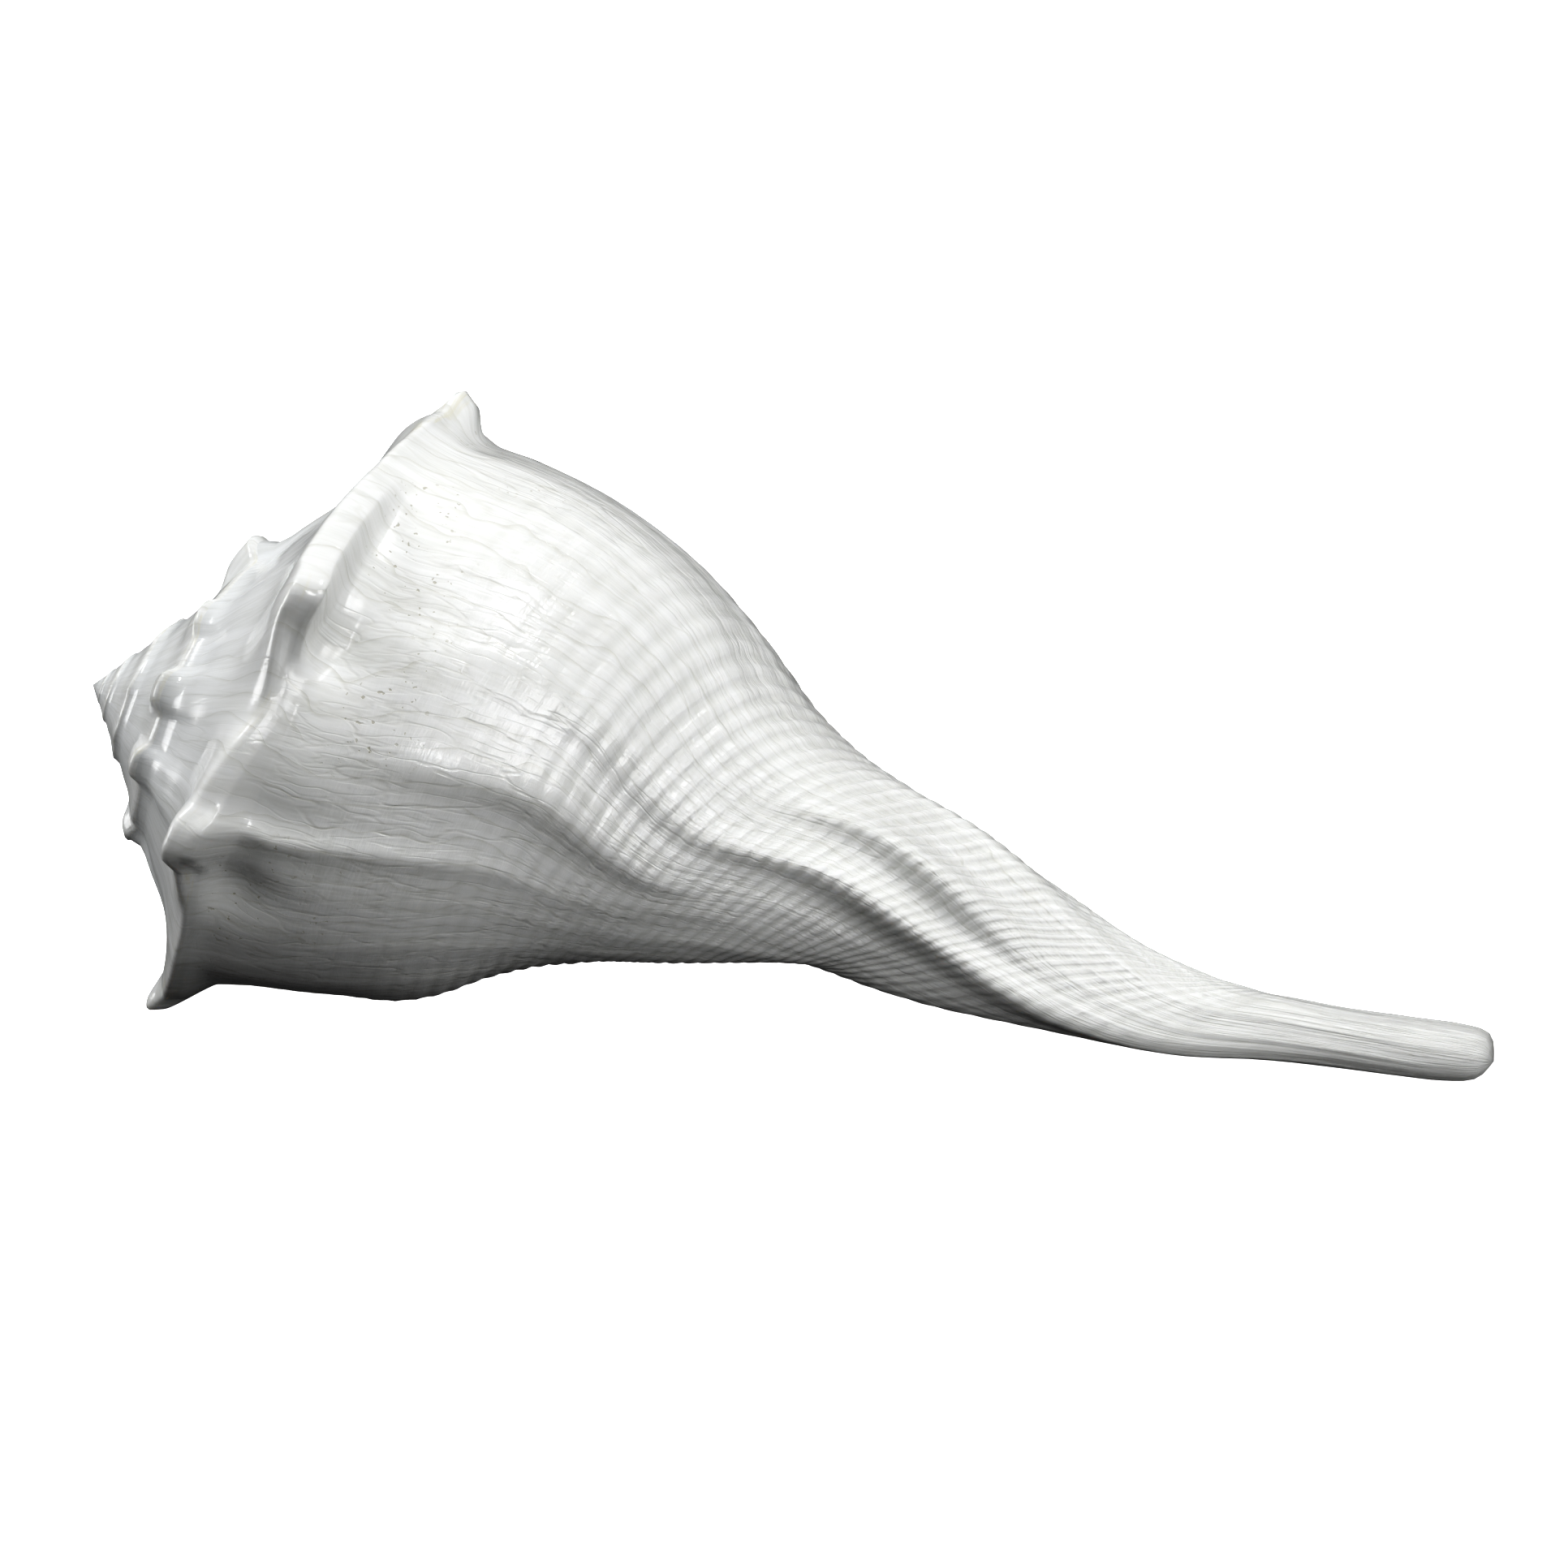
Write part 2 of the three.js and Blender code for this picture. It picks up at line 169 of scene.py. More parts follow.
def curve(points, x):
    """Cubic Hermite curve through (x, y) points, each slope taken across its two neighbours."""
    xs, ys = np.asarray(points, float).T
    last = len(xs) - 1
    x = np.clip(x, xs[0], xs[-1])
    i = np.clip(np.searchsorted(xs, x, side="left") - 1, 0, last - 1)
    before = np.maximum(np.arange(last + 1) - 1, 0)
    after = np.minimum(np.arange(last + 1) + 1, last)
    slope = (ys[after] - ys[before]) / (xs[after] - xs[before])
    span = xs[i + 1] - xs[i]
    t = (x - xs[i]) / span
    rise = (ys[i + 1] - ys[i]) * t * t * (3 - 2 * t)
    return ys[i] + rise + t * (1 - t) ** 2 * span * slope[i] + t * t * (t - 1) * span * slope[i + 1]


def outline_at(row):
    """Catmull-Rom point on the outline at a fractional row, and the unit normal in its plane."""
    i = np.clip(np.floor(row).astype(int), 0, TIP_ROW - 1)
    t = (row - i)[..., None]
    p, q, r, s = (OUTLINE[np.clip(i + k, 0, TIP_ROW)] for k in (-1, 0, 1, 2))
    value = 0.5 * (2 * q + (r - p) * t + (2 * p - 5 * q + 4 * r - s) * t**2 + (3 * q - p - 3 * r + s) * t**3)
    slope = 0.5 * (r - p + 2 * (2 * p - 5 * q + 4 * r - s) * t + 3 * (3 * q - p - 3 * r + s) * t**2)
    length = np.linalg.norm(slope, axis=-1)
    return value[..., 0], value[..., 1], slope[..., 1] / length, -slope[..., 0] / length


FINE_ROWS = np.linspace(KEEL_ROW, TIP_ROW, 3601)
FINE_ALONG = outline_at(FINE_ROWS)[1]


def row_at(along):
    """Row on the body side whose distance along the axis is as given."""
    return np.interp(along, FINE_ALONG, FINE_ROWS)


def all_knobs():
    """The named knobs, then evenly stepped ones that shrink to nothing towards the apex."""
    last = KNOBS[-1][0]
    heights = [OLDER_KNOB_HEIGHT * (1 - k / OLDER_KNOB_COUNT) for k in range(OLDER_KNOB_COUNT)]
    older = [[last - OLDER_KNOB_STEP * (k + 1), h, -h, *OLDER_KNOB_WIDTHS, 0] for k, h in enumerate(heights)]
    return np.array(KNOBS + older, float)


def crest_push(azimuth, row):
    """Push outwards and along at the keel, of the gentle crests and then of the overhanging ones.

    Each has its own width on each side of the tip. A gentle crest is a Gaussian hump. An overhanging one is a
    tent, slightly hollow towards newer growth, steep at first towards older growth, less so on the ramp.
    """
    middle, height, lean, older, newer, overhang = all_knobs().T
    off = azimuth[..., None] / DEG - middle
    foot = older * (1 + OLDER_SIDE_ON_RAMP * (1 - smooth_step(5.4, 7.0, row)))[..., None]
    tent = np.where(off > 0, np.clip(1 - off / newer, 0, 1) ** 1.15, np.clip(1 + off / foot, 0, 1) ** 1.5)
    hump = np.exp(-(off / np.where(off > 0, newer, older) / 0.55) ** 2)
    parts = ((1 - overhang) * hump, overhang * tent)
    return [((part * height).sum(-1), (part * lean).sum(-1)) for part in parts]


def crest_shares(row):
    """Shares of those two pushes at a row.

    A gentle crest rises over the ramp as a power of the row and falls past the keel as a Gaussian. An
    overhanging one rises late, stays level past the keel as a facet, and drops at once.
    """
    below = np.clip(row - KEEL_ROW, 0, None)
    gentle = (np.clip(row, 0, KEEL_ROW) / KEEL_ROW) ** 2.8 * np.exp(-(below / 1.3) ** 2)
    overhang = smooth_step(3.2, 5.3, row) * (1 - smooth_step(7.5, 8.1, row))
    return gentle, overhang


def shoulder_push(azimuth, row, grown):
    """Whole push of crests, nubs and valleys at a point, outwards and along.

    Crests under a seam carry over onto the ramp above it. Nubs are flat-topped: e to the minus sixth power.
    """
    out, along = np.zeros_like(azimuth), np.zeros_like(azimuth)
    seam_fade = np.clip(1 - row / KEEL_ROW, 0, 1) ** 2 / GROWTH_PER_TURN
    seam_shares = crest_shares(np.float64(SEAM_ROW))
    pushes, earlier = crest_push(azimuth, row), crest_push(azimuth - TURN, row)
    for share, seam_share, here, before in zip(crest_shares(row), seam_shares, pushes, earlier):
        out += here[0] * share + before[0] * seam_share * seam_fade
        along += here[1] * share + before[1] * seam_share * seam_fade
    along += FACET_SPREAD * pushes[1][0] * smooth_step(5.8, 7.2, row) * (1 - smooth_step(7.6, 9.4, row))
    for middle, centre, wide, tall, nub_out, nub_along in NUBS:
        nub = np.exp(-((azimuth / DEG - middle) / wide) ** 6 - ((row - centre) / tall) ** 6)
        earlier_off = (azimuth / DEG - 360 - middle) / wide
        carried = np.exp(-earlier_off ** 6 - ((SEAM_ROW - centre) / tall) ** 6) * seam_fade
        out += nub_out * (nub + carried)
        along += nub_along * (nub + carried)
    for middle, width, valley_out, valley_along in VALLEYS:
        share = np.exp(-((azimuth / DEG - middle) / width) ** 2) * np.exp(-((row - 6.4) / 2.0) ** 2)
        out += valley_out * share
        along += valley_along * share
    wear_ends, wear_starts = KEEL_WEAR_FROM[::-1]
    worn = 1 - smooth_step(wear_ends, wear_starts, azimuth / DEG)
    out -= KEEL_WEAR * worn * np.exp(-((row - 6.0) / 1.3) ** 2) * smooth_step(SEAM_ROW, 6.2, row)
    return out * grown, along * grown


def dent_depth(azimuth, row):
    """Sum of the dents, each a Gaussian in azimuth and row."""
    return sum(
        height * np.exp(-((azimuth / DEG - middle) / wide) ** 2 - ((row - centre) / tall) ** 2)
        for middle, centre, wide, tall, height in DENTS
    )


def growth_stage(azimuth, along):
    """Azimuth in degrees that a growth line has on the shoulder, whatever its lag further down."""
    return azimuth / DEG + curve(GROWTH_LINE_LAG, along)


def ridge_height(azimuth, along, radius):
    """Sum of ridges across the growth stage, each a Gaussian with its own width on each side."""
    stage = growth_stage(azimuth, along)
    widen = np.clip(RIDGE_WIDENS_BELOW / np.maximum(radius, 1), 1, RIDGE_WIDENS_AT_MOST)
    total = 0
    for middle, older, newer, height in RIDGES:
        width = np.where(stage > middle, newer, older) * widen
        total = total + curve(height, along) * np.exp(-((stage - middle) / width) ** 2)
    return total


def sheet_point(azimuth, row, inset=0, form=1):
    """Point of the spiral sheet: outline times 2 to the power of the turns, moved by ridges, knobs and inset.

    The canal is excused from growing in length, and lifts towards its end. form scales knobs and ridges.
    """
    azimuth, row = np.broadcast_arrays(np.asarray(azimuth, float), np.asarray(row, float))
    base_radius, base_along, out, back = outline_at(row)
    stretch = 1 - CANAL_STRETCH_LOST * smooth_step(*CANAL_STRETCH_FADES, base_along)
    grown = GROWTH_PER_TURN ** (azimuth / TURN)
    moved = form * ridge_height(azimuth, base_along, base_radius) - inset
    push_out, push_along = shoulder_push(azimuth, row, grown)
    radius = base_radius * grown + moved * out + form * push_out
    along = base_along * GROWTH_PER_TURN ** (azimuth / TURN * stretch) + moved * back + form * push_along
    rise = curve(CANAL_RISE, along)
    return np.stack([along, radius * np.sin(azimuth), radius * np.cos(azimuth) + rise], -1)


def column_azimuth(column, row):
    """Azimuth of a grid column, counted in turns with 1 at the lip and bent along the growth lines."""
    along = outline_at(row)[1]
    bend = smooth_step(0, 0.42, column) * smooth_step(1, 0.72, column) * smooth_step(33.2, 45, along)
    lag = np.where(row > SEAM_ROW, curve(GROWTH_LINE_LAG, along) * bend, 0)
    lip = np.where(row > SEAM_ROW, curve(LIP_AZIMUTH, along), LIP_AZIMUTH[0][1])
    return (lip - lag) * DEG - TURN * (1 - column)


def lay_down(points):
    """Shell frame in millimetres to the part's frame in metres: roll, dip, then place."""
    a, b = ROLL * DEG, AXIS_DIP * DEG
    x, y, z = np.moveaxis(points, -1, 0)
    y, z = y * np.cos(a) + z * np.sin(a), z * np.cos(a) - y * np.sin(a)
    x, z = x * np.cos(b) + z * np.sin(b), z * np.cos(b) - x * np.sin(b)
    return (np.stack([x, y, z], -1) + APEX_PLACE) * MM


def lattice_noise(x, seed, y=None):
    """Smooth noise between -1 and 1: random numbers at whole x (and y), eased between them."""
    numbers = np.random.default_rng(seed).uniform(-1, 1, (256, 256))
    y = np.zeros_like(x) if y is None else y
    i, j = np.floor(x).astype(int), np.floor(y).astype(int)
    u, v = x - i, y - j
    u, v = u * u * (3 - 2 * u), v * v * (3 - 2 * v)
    pick = lambda a, b: numbers[(i + a) % 256, (j + b) % 256]
    low = pick(0, 0) * (1 - u) + pick(1, 0) * u
    high = pick(0, 1) * (1 - u) + pick(1, 1) * u
    return low * (1 - v) + high * v


def cord_phase(along):
    """Number of cords counted down the body: the distance along divided by the pitch, summed."""
    steps = np.linspace(CORD_PITCH[0][0], CORD_PITCH[-1][0], 600)
    pitch = curve(CORD_PITCH, (steps[1:] + steps[:-1]) / 2)
    count = np.concatenate([[0], np.cumsum(np.diff(steps) / pitch)])
    return np.interp(along, steps, count)


def knob_warp(azimuth, row):
    """Degrees by which growth lines swing round the foot of each overhanging knob."""
    middle, height, overhang = all_knobs()[:, [0, 1, 5]].T
    near = np.exp(-((azimuth[..., None] / DEG - middle - 2) / 11) ** 2)
    return (near * height * overhang).sum(-1) * 1.6 * np.exp(-((row - 7.4) / 1.3) ** 2)


def surface_relief(azimuth, row, sizes):
    """Height in millimetres of growth folds, growth lines and spiral cords over the smooth sheet.

    Folds and lines are lattice noise across the growth stage, stretched along the shell. Cords are parted
    by grooves, a raised cosine of the cord count, as deep as another noise across the stage says.
    """
    along = outline_at(row)[1]
    stage = growth_stage(azimuth, along)
    grown = GROWTH_PER_TURN ** (azimuth / TURN)
    stage = stage + knob_warp(azimuth, row)
    sway = 1.6 * lattice_noise(stage / 22, 3, along / 17) + 0.7 * lattice_noise(stage / 9, 4, along / 8)
    broad = lattice_noise((stage + sway) / 11, 5, along / 40)
    narrow = lattice_noise((stage + sway) / 6, 6, along / 26)
    folds = sizes.fold_height * curve(FOLD_HEIGHT, along) * broad
    folds = folds + sizes.line_height * curve(LINE_HEIGHT, along) * narrow
    phase = cord_phase(along) + 0.10 * lattice_noise(stage / 8, 8, along / 20)
    strength = 0.75 + 0.45 * lattice_noise(stage / 14, 9, along / 30)
    cords = -sizes.cord_height * curve(CORD_HEIGHT, along) * strength * (1 + np.cos(TURN * phase))
    return (folds + cords + dent_depth(azimuth, row)) * np.clip(grown, 0.2, 1)


def row_stations(low, high, count, density):
    """Rows from low to high, spaced so that the length between them divided by density is even."""
    fine = np.linspace(low, high, 2400)
    radius, along, _, _ = outline_at(fine)
    length = np.hypot(np.diff(radius), np.diff(along))
    weight = length * density((along[1:] + along[:-1]) / 2, (fine[1:] + fine[:-1]) / 2)
    total = np.concatenate([[0], np.cumsum(weight)])
    return np.interp(np.linspace(0, total[-1], count), total, fine)


def ramp_density(along, row):
    """How close the rows of the ramp lie: four times as close at the keel."""
    return 1 + 3.0 * np.exp(-((row - KEEL_ROW) / 1.4) ** 2)


def body_density(along, row):
    """How close the rows of the body lie: closest under the keel, then where the cords are strong."""
    corded = 1.9 * smooth_step(66, 88, along) * smooth_step(158, 145, along)
    return 1 + corded + 3.4 * smooth_step(42, 38, along)


def grid_rows(sizes):
    """Rows of the sheet: those of the ramp, then those of the body."""
    ramp = row_stations(0, SEAM_ROW, sizes.ramp_rows, ramp_density)
    body = row_stations(SEAM_ROW, TIP_ROW, sizes.body_rows + 1, body_density)
    return np.concatenate([ramp, body[1:]])


def sheet_normals(points):
    """Unit cross product of the grid's two slopes, turned outwards from the coiling axis."""
    across, down = np.gradient(points, axis=0), np.gradient(points, axis=1)
    normal = np.cross(across, down)
    normal /= np.linalg.norm(normal, axis=-1, keepdims=True) + 1e-12
    outwards = (normal[..., 1:] * points[..., 1:]).sum()
    return normal * np.sign(outwards)


def face_starts(sizes):
    """Number of each face's first corner, from how many corners each face has."""
    return np.concatenate([[0], np.cumsum(sizes)[:-1]])


class FaceList:
    """Faces of a mesh gathered as arrays of corners, each corner a vertex number and its surface numbers."""

    def __init__(self):
        self.corners, self.numbers, self.sizes = [], [], []

    def add(self, ids, numbers):
        """ids has one row of vertex numbers for each face; numbers the same with one more axis."""
        self.corners.append(ids.reshape(-1))
        self.numbers.append(numbers.reshape(-1, numbers.shape[-1]))
        self.sizes.append(np.full(len(ids), ids.shape[1]))

    def grid(self, ids, numbers):
        """Quads between neighbouring rows and columns of a rectangle of vertices."""
        quads = lambda a: np.stack([a[:-1, :-1], a[:-1, 1:], a[1:, 1:], a[1:, :-1]], 2)
        flat = quads(ids).reshape(-1, 4)
        self.add(flat, quads(numbers).reshape(len(flat), 4, -1))

    def joined(self):
        """All corners, their numbers, and how many corners each face has.

        Where a quad meets the apex or the tip it has one vertex twice, and one of those corners is left out.
        """
        corners, numbers, sizes = (np.concatenate(part) for part in (self.corners, self.numbers, self.sizes))
        starts = face_starts(sizes)
        within = np.arange(len(corners)) - np.repeat(starts, sizes)
        following = np.repeat(starts, sizes) + (within + 1) % np.repeat(sizes, sizes)
        kept = corners != corners[following]
        return corners[kept], numbers[kept], np.add.reduceat(kept, starts, dtype=int)


def surface_numbers(azimuth, row, inside):
    """What the finish reads at a corner, as three pairs.

    They are the stage in turns and the distance in units of 100 mm, the cord count and 1 inside or 0 outside,
    and the size against the newest turn's and the row.
    """
    along = outline_at(row)[1]
    stage = growth_stage(azimuth, along)
    grown = GROWTH_PER_TURN ** (azimuth / TURN)
    return np.stack(np.broadcast_arrays(stage / 360, along / 100, cord_phase(along), inside, grown, row), -1)


def outer_sheet(sizes, faces):
    """Vertices of the spiral sheet. The seam row of each turn is the first row of the turn after it."""
    rows = grid_rows(sizes)
    seam, tip = sizes.ramp_rows - 1, len(rows) - 1
    per_turn = sizes.columns
    total = int(round(TURNS * per_turn))
    last_turn = total - per_turn
    column = 1 - (total - np.arange(total + 1)) / per_turn
    row_grid = np.broadcast_to(rows, (total + 1, tip + 1))
    azimuth = column_azimuth(column[:, None], row_grid)
    points = sheet_point(azimuth, row_grid)
    relief = surface_relief(azimuth, row_grid, sizes)
    edge = smooth_step(0, 0.004, column)[:, None] * smooth_step(1, 0.985, column)[:, None]
    older = (column < 0)[:, None] * np.ones_like(relief)
    relief = relief * np.maximum(edge, older)
    relief = relief * smooth_step(0, 1.4, row_grid) * smooth_step(TIP_ROW, TIP_ROW - 1.5, row_grid)
    points = points + sheet_normals(points) * relief[..., None]

    kept = np.ones(azimuth.shape, bool)
    kept[:last_turn, seam + 1:] = False
    kept[:, 0] = False
    kept[last_turn:, tip] = False
    ids = np.zeros(azimuth.shape, int)
    ids[kept] = np.arange(kept.sum()) + 2
    ids[last_turn:, tip] = 1
    ids[per_turn:, 0] = ids[:-per_turn, seam]
    vertices = np.concatenate([[[0.0, 0.0, 0.0], sheet_point(azimuth[-1, tip], TIP_ROW)], points[kept]])

    numbers = surface_numbers(azimuth, row_grid, 0.0)
    faces.grid(ids[:last_turn + 1, :seam + 1], numbers[:last_turn + 1, :seam + 1])
    faces.grid(ids[last_turn:], numbers[last_turn:])
    first = np.arange(1, seam)
    fan = np.stack([np.zeros_like(first), first + 1, first], 1)
    faces.add(np.where(fan > 0, ids[0][fan], 0), numbers[0][fan])
    return vertices, ids, numbers, rows, seam, last_turn


def hollow_rings(sizes, rows, seam):
    """Rings of the hollow from the lip inwards: down the outer wall, then back up the columella."""
    steps = np.linspace(0, 1, sizes.hollow_rings)[:, None]
    behind = HOLLOW_BEHIND_LIP * steps ** 1.15
    end = row_at(curve(HOLLOW_REACH, behind))
    share = rows / TIP_ROW
    outer_row = HOLLOW_FIRST_ROW + (end - HOLLOW_FIRST_ROW) * share
    wall = curve(WALL, behind) * GROWTH_PER_TURN ** (-behind / 720)
    thinner = 1 - 0.3 * smooth_step(110, 165, outline_at(outer_row)[1])
    outer_azimuth = column_azimuth(1 - behind / 360, outer_row)
    wall = wall + np.maximum(-dent_depth(outer_azimuth, outer_row), 0)
    outer = sheet_point(outer_azimuth, outer_row, wall * thinner, 0)

    inner_share = ((rows - SEAM_ROW) / (TIP_ROW - SEAM_ROW))[seam + 1:-1][::-1]
    start = row_at(HOLLOW_INNER_START)
    inner_row = start + (end - start) * inner_share
    inner_behind = behind + 0.8 * (1 - steps)
    inner_azimuth = column_azimuth(1 - inner_behind / 360, inner_row) - TURN
    glaze = curve(GLAZE, outline_at(inner_row)[1]) * smooth_step(0, 9, inner_behind)
    inner = sheet_point(inner_azimuth, inner_row, -glaze, smooth_step(14, 0, inner_behind))

    points = np.concatenate([outer, inner], 1)
    numbers = np.concatenate([
        surface_numbers(outer_azimuth, outer_row, 1.0),
        surface_numbers(inner_azimuth, inner_row, smooth_step(-1, 6, inner_behind)),
    ], 1)
    return points, numbers


def lip_edge(sizes, outline_loop, first_ring, rows):
    """Rim between the outside and the hollow: a half circle ahead of the lip, half a wall in radius."""
    steps = (np.arange(1, sizes.rim_loops + 1) / (sizes.rim_loops + 1))[:, None, None]
    across = (1 - np.cos(np.pi * steps)) / 2
    straight = outline_loop + (first_ring - outline_loop) * across
    tip = len(rows) - 1
    ahead = sheet_point(column_azimuth(1.004, rows), rows) - sheet_point(column_azimuth(1.0, rows), rows)
    ahead /= np.linalg.norm(ahead, axis=-1, keepdims=True) + 1e-9
    bulge = WALL[0][1] / 2 * smooth_step(0, 1.5, rows) * smooth_step(TIP_ROW, TIP_ROW - 2, rows)
    straight[:, :tip + 1] += np.sin(np.pi * steps) * (ahead * bulge[:, None])
    return straight


def shell_surface(sizes):
    """The whole closed surface: sheet, rim, hollow and the end of the hollow, as vertices and faces."""
    faces = FaceList()
    vertices, ids, numbers, rows, seam, last_turn = outer_sheet(sizes, faces)
    tip = len(rows) - 1
    start_rows = np.arange(tip - 1, seam, -1)
    loop_ids = np.concatenate([ids[-1], ids[last_turn, start_rows]])
    loop_numbers = np.concatenate([numbers[-1], numbers[last_turn, start_rows]])
    rings, ring_numbers = hollow_rings(sizes, rows, seam)
    rim = lip_edge(sizes, vertices[loop_ids], rings[0], rows)
    steps = (np.arange(1, sizes.rim_loops + 1) / (sizes.rim_loops + 1))[:, None, None]
    rim_numbers = loop_numbers + (ring_numbers[0] - loop_numbers) * steps

    inner = np.concatenate([rim, rings])
    inner_ids = np.arange(inner.shape[0] * inner.shape[1]).reshape(inner.shape[:2]) + len(vertices)
    vertices = np.concatenate([vertices, inner.reshape(-1, 3)])
    band_ids = np.concatenate([loop_ids[None], inner_ids])
    band_numbers = np.concatenate([loop_numbers[None], rim_numbers, ring_numbers])
    close = lambda a: np.concatenate([a, a[:, :1]], 1)
    faces.grid(close(band_ids), close(band_numbers))

    end_ids, end_numbers = inner_ids[-1], ring_numbers[-1]
    level = np.arange(seam + 1, tip)
    opposite = 2 * tip - level
    pairs = np.stack([opposite, level], 1)
    faces.grid(end_ids[pairs], end_numbers[pairs])
    near = np.arange(seam + 1)
    fan = np.stack([near, near + 1, np.full_like(near, 2 * tip - seam - 1)], 1)
    last = np.array([[tip - 1, tip, tip + 1]])
    for triangles in (fan, last):
        faces.add(end_ids[triangles], end_numbers[triangles])
    return vertices, faces


def flip_inside_out(points, corners, sizes):
    """True if the faces enclose a negative volume, each face taken as a fan from its first corner."""
    starts = face_starts(sizes)
    volume = 0.0
    for k in (1, 2):
        has = sizes > k + 1
        a, b, c = (points[corners[starts[has] + n]] for n in (0, k, k + 1))
        volume += np.einsum("ij,ij->i", a, np.cross(b, c)).sum()
    return volume < 0


def make_mesh(name, points, faces):
    """Mesh from whole arrays, with the surface numbers as three UV maps on the corners."""
    corners, numbers, sizes = faces.joined()
    starts = face_starts(sizes)
    if flip_inside_out(points, corners, sizes):
        within = np.arange(len(corners)) - np.repeat(starts, sizes)
        order = np.repeat(starts, sizes) + (np.repeat(sizes, sizes) - within) % np.repeat(sizes, sizes)
        corners, numbers = corners[order], numbers[order]
    mesh = bpy.data.meshes.new(name)
    mesh.vertices.add(len(points))
    mesh.vertices.foreach_set("co", points.astype(np.float32).ravel())
    mesh.loops.add(len(corners))
    mesh.loops.foreach_set("vertex_index", corners.astype(np.int32))
    mesh.polygons.add(len(sizes))
    mesh.polygons.foreach_set("loop_start", starts.astype(np.int32))
    mesh.update(calc_edges=True)
    if mesh.validate():
        raise ValueError("the surface has faces that Blender had to repair")
    for k, label in enumerate(("growth", "cords", "size")):
        layer = mesh.uv_layers.new(name=label)
        layer.data.foreach_set("uv", numbers[:, 2 * k:2 * k + 2].astype(np.float32).ravel())
    mesh.shade_smooth()
    return mesh


class Socket:
    """A shader socket that adds Math nodes when numbers or other sockets are worked out with it."""

    def __init__(self, tree, output):
        self.tree, self.output = tree, output

    def math(self, operation, *values):
        return self.tree.node("ShaderNodeMath", {"operation": operation}, dict(enumerate((self, *values))))

    def __add__(self, other):
        return self.math("ADD", other)

    def __sub__(self, other):
        return self.math("SUBTRACT", other)

    def __rsub__(self, other):
        return self.tree.node("ShaderNodeMath", {"operation": "SUBTRACT"}, {0: other, 1: self})

    def __mul__(self, other):
        return self.math("MULTIPLY", other)

    def __pow__(self, other):
        return self.math("POWER", other)

    __radd__, __rmul__ = __add__, __mul__

    def limit(self, low=0.0, high=1.0):
        """Kept between two numbers."""
        return self.math("MAXIMUM", low).math("MINIMUM", high)

    def step(self, low, high):
        """0 below low, 1 above high, smooth between."""
        return self.tree.node(
            "ShaderNodeMapRange", {"interpolation_type": "SMOOTHSTEP"},
            {"Value": self, "From Min": low, "From Max": high},
        )


class Finish:
    """A material's node tree."""

    def __init__(self, name):
        self.material = bpy.data.materials.new(name)
        self.material.use_nodes = True
        self.nodes = self.material.node_tree.nodes
        self.links = self.material.node_tree.links
        self.nodes.clear()

    def node(self, kind, settings=None, values=None, output=0):
        """Adds a node, its settings first, then values or links for its sockets. Gives one output."""
        made = self.nodes.new(kind)
        for key, value in (settings or {}).items():
            setattr(made, key, value)
        for key, value in (values or {}).items():
            if isinstance(value, Socket):
                self.links.new(value.output, made.inputs[key])
            else:
                made.inputs[key].default_value = value
        return Socket(self, made.outputs[output]) if made.outputs else made

    def ramp(self, value, stops):
        """Colour ramp through (position, colour) stops."""
        made = self.nodes.new("ShaderNodeValToRGB")
        elements = made.color_ramp.elements
        for position, _ in stops[2:]:
            elements.new(position)
        for element, (position, colour) in zip(elements, stops):
            element.position = position
            element.color = (*colour, 1)
        self.links.new(value.output, made.inputs[0])
        return Socket(self, made.outputs[0])

    def mix(self, factor, first, second, blend="MIX"):
        """Colour mix of two colours or sockets."""
        pad = lambda c: c if isinstance(c, Socket) else (*c, 1)
        return self.node(
            "ShaderNodeMix", {"data_type": "RGBA", "blend_type": blend},
            {0: factor, 6: pad(first), 7: pad(second)}, 2,
        )

    def noise(self, vector, scale, detail=3.0, roughness=0.5):
        """Noise between 0 and 1 at a scale."""
        values = {"Vector": vector, "Scale": scale, "Detail": detail, "Roughness": roughness}
        return self.node("ShaderNodeTexNoise", {}, values)

    def vector(self, x, y, z=0.0):
        """Vector of three numbers or sockets."""
        return self.node("ShaderNodeCombineXYZ", {}, {"X": x, "Y": y, "Z": z})

    def split(self, vector):
        """The three numbers of a vector."""
        made = self.nodes.new("ShaderNodeSeparateXYZ")
        self.links.new(vector.output, made.inputs[0])
        return [Socket(self, out) for out in made.outputs]


# Which output of the Texture Coordinate node holds Object coordinates.
OBJECT_COORDINATES = 3

# Colours of the finish beside the ones that can be set.
DULL_STREAK = (0.64, 0.65, 0.62)
BRIGHT_STREAK = (0.93, 0.93, 0.925)
# Grey of the growth lines, also used as painted shade at the foot of each growth step.
GROWTH_LINE_AND_STEP_SHADE = (0.58, 0.58, 0.52)
# Painted shade for the grooves between spiral cords.
CORD_GROOVE_SHADE = (0.58, 0.59, 0.54)
# Painted highlight for the crests of the spiral cords.
CORD_CREST_HIGHLIGHT = (0.93, 0.935, 0.93)
SPIRE_TINT = (0.76, 0.785, 0.83)
PIT = (0.30, 0.27, 0.16)
OLIVE = (0.66, 0.63, 0.44)


